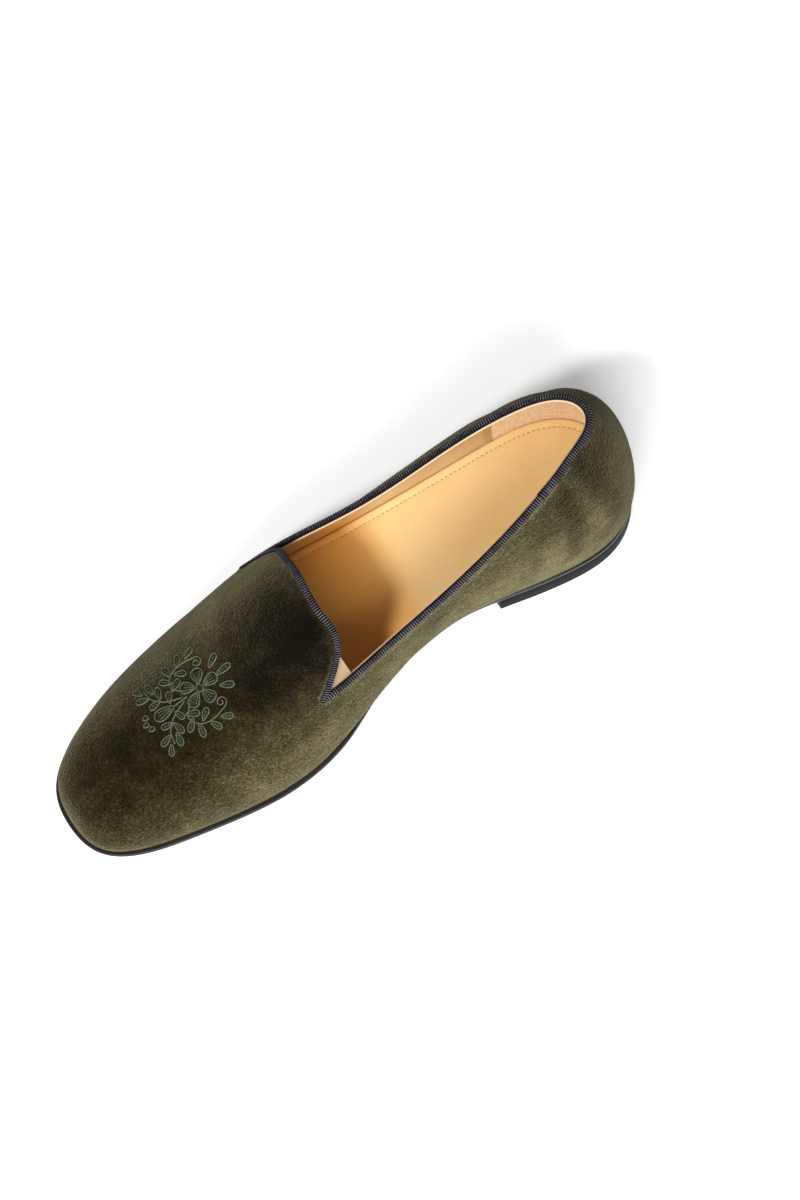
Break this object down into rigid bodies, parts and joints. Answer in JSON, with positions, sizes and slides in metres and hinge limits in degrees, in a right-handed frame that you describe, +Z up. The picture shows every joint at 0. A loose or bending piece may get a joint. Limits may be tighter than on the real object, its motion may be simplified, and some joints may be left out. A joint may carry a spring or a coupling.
{
  "type": "slipper loafer",
  "caption": "Right velvet slipper loafer with a hollow low-cut upper, ribbed tape bindings, leather insole, thin leather outsole and a low heel.",
  "frame": {"origin": "on the floor under the middle of the shoe's bounding box", "axes": "+Z up from the sole, +Y from toe to heel, +X to the medial side"},
  "size_m": [0.0956, 0.2916, 0.0807],
  "materials": {
    "velvet": "olive cotton velvet, short pile",
    "tape": "near-black ribbed grosgrain",
    "insole_leather": "smooth tan leather",
    "sole_leather": "polished black-brown leather",
    "heel_rubber": "matt charcoal rubber"
  },
  "bodies": {
    "root": {"upper": "velvet", "collar_binding": "tape", "throat_binding": "tape", "insole": "insole_leather", "outsole": "sole_leather", "heel": "heel_rubber"}
  },
  "joints": []
}
